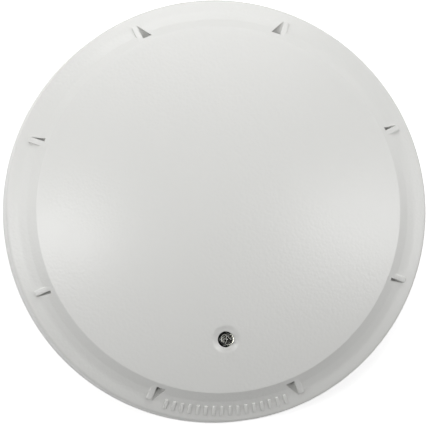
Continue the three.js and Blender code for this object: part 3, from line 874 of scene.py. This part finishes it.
def mountingSlots():
    half = baseShape["slotHalf"]
    slots = []
    for side in (0, pi):
        slot = blockPiece("slot", (baseShape["slotFrom"], -half, -mm), (baseShape["slotTo"], half, 4 * mm))
        for at in (baseShape["slotFrom"], baseShape["slotTo"]):
            fuse(slot, roundBar("slotEnd", half, -mm, 4 * mm, 48, (at, 0)))
        slots.append(turnBy(slot, side))
    return slots


def buildBase():
    shape = baseShape
    collar = shape["entry"] + shape["collar"]
    corners = [(shape["entry"], baseLow.z, 0.3 * mm), (baseHigh.x, baseLow.z, 0.3 * mm),
               (baseHigh.x, baseHigh.z, 0.5 * mm), (shape["ringInner"], baseHigh.z, 0.3 * mm),
               (shape["ringInner"], shape["floor"], 0.5 * mm), (collar, shape["floor"], 0.4 * mm),
               (collar, shape["floor"] + shape["collarRise"], 0.5 * mm),
               (shape["entry"], shape["floor"] + shape["collarRise"], 0.5 * mm)]
    base = spinPiece("baseMoulding", outlineOf(corners, closed=True), 180)
    for piece in hooksAndStops():
        fuse(base, piece)
    seats = []
    for side in (-1, 1):
        low, high = (35 * mm, side * 6.3 * mm, 1.5 * mm), (41.6 * mm, side * 7.5 * mm, 3.4 * mm)
        seat = blockPiece("seat", low, high, 0.2 * mm)
        seats += turnedCopies(seat, stationAngles)
    fuse(base, joinAll(seats, "seats"))
    for slot in mountingSlots():
        cut(base, slot)
    bores = [roundBar("bore", shape["clampBore"], -mm, 4 * mm, 40, atRadius(shape["clampAt"], angle))
             for angle in stationAngles]
    cut(base, joinAll(bores, "bores"))
    marks = [roundBar("mark", markShape["radius"], -mm, markShape["depth"], 40, atRadius(ring, angle))
             for ring in (markShape["inner"], markShape["outer"]) for angle in around(markShape)]
    cut(base, joinAll(marks, "marks"))
    finishPiece(base, "base", "base_white", baseWhite, "mounting_base")


# terminals, each drawn on the +X side and copied round
clampShape = inMm(half=3.2, bottom=3.05, top=4.05, shaft=1.75, root=1.42, head=2.9, pitch=0.7,
                  slotWidth=0.75, crossReach=1.5)
plateShape = inMm(near=29, far=42.6, half=6, bottom=2, top=3, corner=0.9, bore=2.05)


def roundedPlate(name, low, high, corner, edge):
    plate = blockPiece(name, low, high)
    pick(plate, "EDGE", lambda a, b: abs(a.z - b.z) > 0.5 * (high[2] - low[2]))
    bpy.ops.mesh.bevel(offset=corner, segments=5, affect="EDGES")
    leaveEdit()
    return softenEdges(plate, edge)


def countersunk(radius, bottom, top, edge, centre):
    corners = [(0, bottom - mm), (radius + edge + mm, bottom - mm), (radius, bottom + edge),
               (radius, top - edge), (radius + edge + mm, top + mm), (0, top + mm)]
    return spinPiece("countersunk", outlineOf(corners), 48, centre)


def stationPieces(piece, name, body, slotName, material, node, numbered=False):
    for i, copied in enumerate(turnedCopies(piece, stationAngles)):
        named(copied, f"{name}{i + 1}")
        finishPiece(copied, f"{body}_{i + 1}" if numbered else body, slotName, material, f"{node}_{i + 1}")


def buildTerminalPlate():
    shape = plateShape
    top = shape["top"]
    plate = roundedPlate("terminalPlate", (shape["near"], -shape["half"], shape["bottom"]),
                         (shape["far"], shape["half"], top), shape["corner"], 0.12 * mm)
    cut(plate, countersunk(shape["bore"], shape["bottom"], top, 0.15 * mm, (baseShape["clampAt"], 0)))
    grooves = []
    for across in (-5.2, -4.5, -3.8, 3.8, 4.5, 5.2):
        groove = blockPiece("groove", (36.6 * mm, (across - 0.15) * mm, top - 0.15 * mm),
                            (42.2 * mm, (across + 0.15) * mm, top + mm))
        grooves.append(groove)
    cut(plate, joinAll(grooves, "grooves"))
    stationPieces(plate, "terminalPlate", "base", "contact_nickel", nickelPlate, "terminal_plate")


def buildContactSpring():
    foot, crest, middle = plateShape["top"], 6.5 * mm, 0.2 * mm
    corners = [(-5.6 * mm, foot + middle), (-2.2 * mm, foot + middle, 3 * mm),
               (4.4 * mm, 5.5 * mm + middle, 4 * mm), (6.8 * mm, crest - middle, 2 * mm),
               (9.4 * mm, 4.8 * mm + middle)]
    leaf = swungStrip("contactSpring", corners, 2 * middle, 0.06 * mm, 8)
    rivetRadius, seat, crown = 0.95 * mm, foot + 0.3 * mm, foot + 0.8 * mm
    outline = [(0, seat), (rivetRadius, seat), (rivetRadius, crown, 0.3 * mm),
               (0, foot + 0.85 * mm)]
    rivet = spinPiece("rivet", outlineOf(outline), 32, ((bladeLow.x + bladeHigh.x) / 2, -4 * mm))
    fuse(leaf, rivet)
    stationPieces(leaf, "contactSpring", "base", "spring_bronze", bronzeStrip, "contact_spring")


def buildClampPlate():
    shape = clampShape
    at, half = baseShape["clampAt"], shape["half"]
    plate = roundedPlate("clampPlate", (at - half, -half, shape["bottom"]), (at + half, half, shape["top"]),
                         0.5 * mm, 0.12 * mm)
    cut(plate, countersunk(plateShape["bore"], shape["bottom"], shape["top"], 0.12 * mm, (at, 0)))
    stationPieces(plate, "clampPlate", "clamp", "screw_steel", zincSteel, "clamp_plate", True)


def buildTerminalScrew():
    shape = clampShape
    low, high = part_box("terminal_screw_1")
    under = shape["top"] + 0.05 * mm
    corners = [(0, low.z), (shape["root"] - 0.3 * mm, low.z)]
    corners += threadRings(shape["root"], shape["shaft"], low.z + 0.3 * mm, under - 0.35 * mm,
                           shape["pitch"])
    corners += [(shape["root"], under, 0.1 * mm), (shape["head"], under, 0.1 * mm),
                (shape["head"], high.z - 0.25 * mm, 0.75 * mm), (0, high.z)]
    screw = spinPiece("terminalScrew", outlineOf(corners, steps=6), 48)
    slot = blockPiece("slot", (-4 * mm, -shape["slotWidth"] / 2, high.z - 0.7 * mm),
                      (4 * mm, shape["slotWidth"] / 2, high.z + mm))
    cut(screw, slot)
    cut(screw, crossRecess(high.z, shape["crossReach"], 1.3 * mm, 0.7 * mm))
    softenEdges(screw, 0.04 * mm, 1, 60)
    moveBy(screw, (baseShape["clampAt"], 0, 0))
    stationPieces(screw, "terminalScrew", "screw", "screw_steel", zincSteel, "terminal_screw", True)


buildBase()
buildTerminalPlate()
buildContactSpring()
buildClampPlate()
buildTerminalScrew()
print("base built")


# circuit board
sensorShape = inMm({"angle": radians(106), "stretch": 1.3}, foot=38.8, pitch=1.8, at=43, height=12.9,
                   bead=1.1, wire=0.25)
holeRadius = 0.55 * mm


def wireFeet():
    lamp = [(lampPlace[0] + side * lampShape["leadOffset"], lampPlace[1]) for side in (-1, 1)]
    turned = [Vector((sensorShape["foot"], side * sensorShape["pitch"] / 2, 0)) for side in (-1, 1)]
    for foot in turned:
        foot.rotate(Matrix.Rotation(sensorShape["angle"], 3, "Z"))
    return lamp + [(foot.x, foot.y) for foot in turned]


def buildBoard():
    board = roundBar("boardLaminate", boardHigh.x, boardLow.z, boardHigh.z, 160, edge=0.12 * mm)
    low, high = boardLow.z - mm, boardHigh.z + mm
    cutters = [roundBar("hole", fixingShape["bore"], low, high, 40, atRadius(fixingShape["at"], angle))
               for angle in fixingAngles]
    cutters += [roundBar("hole", holeRadius, low, high, 24, foot) for foot in wireFeet()]
    cut(board, joinAll(cutters, "holes"))
    cut(board, bladeSlots(low, high))
    finishPiece(board, "head", "board_green", solderMask, "circuit_board")


# solder stands up round each lead and wets its pad
def buildSolder():
    under = boardLow.z
    outline = [(0, under + 0.05 * mm), (mm, under + 0.05 * mm),
               (0.95 * mm, under - 0.06 * mm, 0.05 * mm), (0.4 * mm, under - 0.25 * mm, 0.4 * mm),
               (0.3 * mm, under - 0.6 * mm), (0, under - 0.62 * mm)]
    joints = [spinPiece("joint", outlineOf(outline), 28, foot) for foot in wireFeet()]
    for angle in stationAngles:
        pad = blockPiece("joint", (bladeLow.x - 0.6 * mm, bladeHigh.y - 1.5 * mm, boardHigh.z - 0.02 * mm),
                         (bladeHigh.x + 0.6 * mm, bladeHigh.y + 0.7 * mm, boardHigh.z + 0.5 * mm))
        drawIn(pad, "VERT", lambda co: co.z > boardHigh.z + 0.3 * mm, (0.8, 0.45, 1))
        softenEdges(pad, 0.2 * mm, 4, 20)
        joints.append(turnBy(pad, angle))
    finishPiece(joinAll(joints, "solderJoints"), "head", "tinned_lead", tinPlate)


# chips with formed legs
chipShapes = {       # width, length, height, legs a side, x, y, turn
    "microcontroller": (7.5, 10.4, 2.2, 8, 6, 4, 90),
    "memory_chip": (3.9, 4.9, 1.6, 4, -12, 6, 0),
    "bridge_rectifier": (4, 4.7, 2.4, 2, -22, -6, 0),
    "voltage_regulator": (2.5, 4.5, 1.5, 3, -3, -14, 90),
    "surge_suppressor": (4.3, 2.6, 2.3, 1, -14, -15, 30),
}
legShape = inMm(pitch=1.27, width=0.42, thickness=0.16, reach=0.95)


def chipLegs(width, height, legs, legWidth):
    out, shoulder = width / 2, height * 0.45
    reach = legShape["reach"] if legs > 1 else 0.1 * mm
    tip, lift, bend = out + reach, 0.09 * mm, 0.14 * mm
    corners = [(out - 0.25 * mm, shoulder), (out + reach * 0.3, shoulder, bend),
               (out + reach * 0.5, lift, bend), (tip, lift)]
    if legs == 1:
        corners = [(out - 0.9 * mm, lift), (tip, lift, 0.1 * mm), (tip, shoulder)]
    leg = stripPiece("leg", outlineOf(corners, steps=4), legWidth, legShape["thickness"], 0.025 * mm)
    moveBy(leg, (0, -legWidth / 2, 0))
    copies = []
    for i in range(legs):
        for side in (0, pi):
            copied = turnBy(copyOf(leg, "leg"), side)
            copies.append(moveBy(copied, (0, (i - (legs - 1) / 2) * legShape["pitch"], 0)))
    bpy.data.objects.remove(leg)
    return joinAll(copies, "chipLegs")


def buildChip(node, width, length, height, legs, x, y, turn):
    name = camelName(node)
    width, length, height = width * mm, length * mm, height * mm
    body = blockPiece(name, (-width / 2, -length / 2, 0.1 * mm), (width / 2, length / 2, height))
    pick(body, "FACE", lambda centre, normal: True)
    bpy.ops.mesh.bisect(plane_co=(0, 0, height * 0.45), plane_no=(0, 0, 1))
    leaveEdit()
    drawIn(body, "VERT", lambda co: co.z > height * 0.9 or co.z < height * 0.2, (0.94, 0.96, 1),
           center_override=(0, 0, height / 2))
    softenEdges(body, 0.07 * mm)
    if legs > 1:
        mark = roundBar("mark", 0.4 * mm, height - 0.08 * mm, height + mm, 24,
                        (-width / 2 + 0.9 * mm, length / 2 - 0.9 * mm))
    else:
        mark = blockPiece("mark", (-width / 2 + 0.7 * mm, -length, height - 0.05 * mm),
                          (-width / 2 + 1.1 * mm, length, height + mm))
    cut(body, mark)
    legWidth = legShape["width"] if legs > 1 else 1.7 * mm
    metal = chipLegs(width, height, legs, legWidth)
    pieces = (body, "chip_black", blackPlasticAndPaintedShade, [node]), (metal, "tinned_lead", tinPlate, [])
    for piece, slotName, material, nodes in pieces:
        turnBy(piece, radians(turn))
        moveBy(piece, (x * mm, y * mm, boardHigh.z + 0.02 * mm))
        finishPiece(piece, "head", slotName, material, *nodes)
    named(bpy.context.object, name + "Legs")


# ceramic blocks with plated ends
cappedShapes = {     # width, length, height, cap, x, y, turn
    "filter_capacitor": (2.5, 3.2, 1.6, 0.55, 3, -8, 0),
    "loop_resistor": (3.2, 6.3, 0.7, 0.7, -24, 10, 20),
    "lamp_resistor": (1.6, 3.2, 0.6, 0.5, 5, -28, 90),
    "reference_thermistor": (1.25, 2, 0.9, 0.4, -6, 20, 90),
}


def buildCapped(node, width, length, height, cap, x, y, turn):
    name = camelName(node)
    resistor = node.endswith("resistor")
    material = resistorBlack if resistor else ceramicTan
    width, length, height, cap = width * mm, length * mm, height * mm, cap * mm
    inset = 0.05 * mm
    body = blockPiece(name, (-width / 2 + inset, -length / 2 + cap / 2, inset),
                      (width / 2 - inset, length / 2 - cap / 2, height - inset), edge=0.06 * mm)
    caps = [blockPiece("cap", (-width / 2, side * (length / 2 - cap), 0),
                       (width / 2, side * length / 2, height), 0.1 * mm, 3) for side in (-1, 1)]
    slotName = "chip_black" if resistor else "ceramic_tan"
    ends = joinAll(caps, name + "Ends")
    pieces = (body, slotName, material, [node]), (ends, "tinned_lead", tinPlate, [])
    for piece, pieceSlot, finish, nodes in pieces:
        turnBy(piece, radians(turn))
        moveBy(piece, (x * mm, y * mm, boardHigh.z + 0.02 * mm))
        finishPiece(piece, "head", pieceSlot, finish, *nodes)


def buildStorageCapacitor():
    low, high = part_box("storage_capacitor")
    centre = ((low.x + high.x) / 2, (low.y + high.y) / 2)
    radius, top = 2.5 * mm, high.z
    foot = low.z + 0.8 * mm
    can = spinPiece("storageCan", outlineOf([
        (0, foot), (radius - 0.2 * mm, foot, 0.1 * mm), (radius, foot + 0.3 * mm, 0.1 * mm),
        (radius, foot + 1.1 * mm, 0.2 * mm), (radius - 0.4 * mm, foot + 1.4 * mm, 0.2 * mm),
        (radius, foot + 1.7 * mm, 0.2 * mm), (radius, top, 0.4 * mm), (0, top - 0.02 * mm)]), 64, centre)
    for turn in (0, pi / 2):
        score = blockPiece("score", (-1.6 * mm, -0.09 * mm, top - 0.1 * mm),
                           (1.6 * mm, 0.09 * mm, top + mm))
        cut(can, moveBy(turnBy(score, turn), (*centre, 0)))
    finishPiece(can, "head", "capacitor_can", canAluminium, "storage_capacitor")
    seat = roundedPlate("storageSeat", low, (high.x, high.y, foot + 0.05 * mm), 0.6 * mm, 0.08 * mm)
    finishPiece(seat, "head", "chip_black", blackPlasticAndPaintedShade)


def buildResonator():
    low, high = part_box("clock_resonator")
    flange = roundedPlate("resonatorCan", low, (high.x, high.y, low.z + 0.35 * mm), 1.2 * mm, 0.08 * mm)
    inset = 0.25 * mm
    can = roundedPlate("can", (low.x + inset, low.y + inset, low.z + 0.2 * mm),
                       (high.x - inset, high.y - inset, high.z), 1.1 * mm, 0.25 * mm)
    fuse(flange, can)
    finishPiece(flange, "head", "contact_nickel", nickelPlate, "clock_resonator")


# sensing bead on its two formed wires
def wirePiece(name, points, radius):
    takeUp(None)
    bpy.ops.curve.primitive_bezier_curve_add(location=(0, 0, 0))
    wire = bpy.context.object
    curve = wire.data
    curve.splines.clear()
    spline = curve.splines.new("NURBS")
    spline.points.add(len(points) - 1)
    for point, place in zip(spline.points, points):
        point.co = (*place, 1)
    spline.order_u = 3
    spline.use_endpoint_u = True
    curve.resolution_u = 8
    curve.bevel_depth = radius
    curve.bevel_resolution = 4
    curve.use_fill_caps = True
    bpy.ops.object.convert(target="MESH")
    wire = named(bpy.context.object, name)
    pick(wire, "VERT", lambda co: True)
    return weld()


def buildSensor():
    shape = sensorShape
    radius, long = shape["bead"], shape["bead"] * shape["stretch"]
    steps = 18
    profile = [Vector((radius * sin(pi * i / steps), 0, -long * cos(pi * i / steps)))
               for i in range(steps + 1)]
    bead = spinPiece("sensingBead", profile, 40)
    turnBy(bead, pi / 2, axis=1)
    moveBy(bead, (shape["at"], 0, shape["height"]))
    turnBy(bead, shape["angle"])
    finishPiece(bead, "head", "bead_black", beadBlack, "sensing_thermistor", sharp=60)
    for side, label in ((1, "left"), (-1, "right")):
        y, foot, at = side * shape["pitch"] / 2, shape["foot"], shape["at"]
        tail, top = boardLow.z - 0.7 * mm, boardHigh.z
        route = [(foot, y, tail), (foot, y, top + 0.5 * mm), (foot + 0.2 * mm, y, top + 1.4 * mm),
                 (foot + 1 * mm, y, top + 1.5 * mm), (at - 1.9 * mm, y * 0.8, top + 1.4 * mm),
                 (at - 1.1 * mm, y * 0.55, top + 1.1 * mm),
                 (at - 0.5 * mm, y * 0.4, shape["height"] + 0.4 * mm)]
        wire = turnBy(wirePiece(f"sensorWire{label.title()}", route, shape["wire"]), shape["angle"])
        finishPiece(wire, "head", "tinned_lead", tinPlate, f"thermistor_lead_{label}", sharp=60)


buildBoard()
buildSolder()
for node, values in chipShapes.items():
    buildChip(node, *values)
for node, values in cappedShapes.items():
    buildCapped(node, *values)
buildStorageCapacitor()
buildResonator()
buildSensor()
print("board built")


# camera and light
viewing = {"distance": 0.9, "tilt": 7, "towards": 200, "roll": 2.3, "width": 111.15 * mm,
           "aim": (-0.0005, -0.0006, 0.008)}


def setCamera():
    camera = bpy.data.objects.new("camera", bpy.data.cameras.new("camera"))
    bpy.context.scene.collection.objects.link(camera)
    tilt, towards = radians(viewing["tilt"]), radians(viewing["towards"])
    back = Vector((sin(tilt) * cos(towards), sin(tilt) * sin(towards), cos(tilt)))
    camera.location = Vector(viewing["aim"]) + back * viewing["distance"]
    turn = radians(viewing["roll"])
    up = Vector((sin(turn), cos(turn), 0))
    across = up.cross(back).normalized()
    up = back.cross(across)
    camera.rotation_euler = Matrix((across, up, back)).transposed().to_euler()
    camera.data.lens = camera.data.sensor_width * viewing["distance"] / viewing["width"]
    camera.data.clip_start = 0.01
    bpy.context.scene.camera = camera


def addLight(name, place, aim, size, power):
    light = bpy.data.lights.new(name, "AREA")
    light.shape = "RECTANGLE"
    light.size, light.size_y = size
    light.energy = power
    lamp = bpy.data.objects.new(name, light)
    bpy.context.scene.collection.objects.link(lamp)
    lamp.location = place
    lamp.rotation_euler = (Vector(aim) - Vector(place)).to_track_quat("-Z", "Y").to_euler()


lighting = {         # place, aim, size, power
    "topSoftbox": ((0.0, 0.60, 0.55), (0.0, 0.0, 0.0), (0.8, 0.5), 2.5),
    "lowSoftbox": ((0.0, 0.75, 0.34), (0.0, 0.0, 0.0), (0.8, 0.4), 1.65),
    "leftSoftbox": ((-0.36, -0.02, 0.66), (0.0, 0.0, 0.0), (0.16, 0.30), 1.4),
    "rightSoftbox": ((0.44, -0.03, 0.62), (0.0, 0.0, 0.0), (0.20, 0.34), 1.27),
    "leftFill": ((-0.75, 0.0, 0.38), (0.0, 0.0, 0.0), (0.5, 0.6), 2.2),
    "rightFill": ((0.75, 0.0, 0.38), (0.0, 0.0, 0.0), (0.5, 0.6), 1.5),
}
floorGlow = {"seen": 0.55, "cast": 0.05}     # how bright the floor looks, and how much it throws back
worldGlow = 0.01


def setStage():
    for name, (place, aim, size, power) in lighting.items():
        addLight(name, place, aim, size, power)
    takeUp(None)
    bpy.ops.mesh.primitive_plane_add(size=6, location=(0, 0, baseLow.z - 0.05 * mm))
    floor = named(bpy.context.object, "floor")
    material, tree, shader = newMaterial("paleFloor", Base_Color=(0.95, 0.95, 0.95, 1), Roughness=0.9)
    shader.inputs["Emission Color"].default_value = (1, 1, 1, 1)
    path = addNode(tree, "ShaderNodeLightPath")
    extra = sumOf(tree, "MULTIPLY", path.outputs["Is Camera Ray"], floorGlow["seen"] - floorGlow["cast"])
    feed(tree, shader.inputs["Emission Strength"], sumOf(tree, "ADD", extra, floorGlow["cast"]))
    floor.data.materials.append(material)
    world = bpy.data.worlds.new("studio")
    world.use_nodes = True
    world.node_tree.nodes["Background"].inputs["Color"].default_value = (1, 1, 1, 1)
    world.node_tree.nodes["Background"].inputs["Strength"].default_value = worldGlow
    bpy.context.scene.world = world
    bpy.context.scene.view_settings.view_transform = "Standard"


setCamera()
setStage()
print("camera and light set")
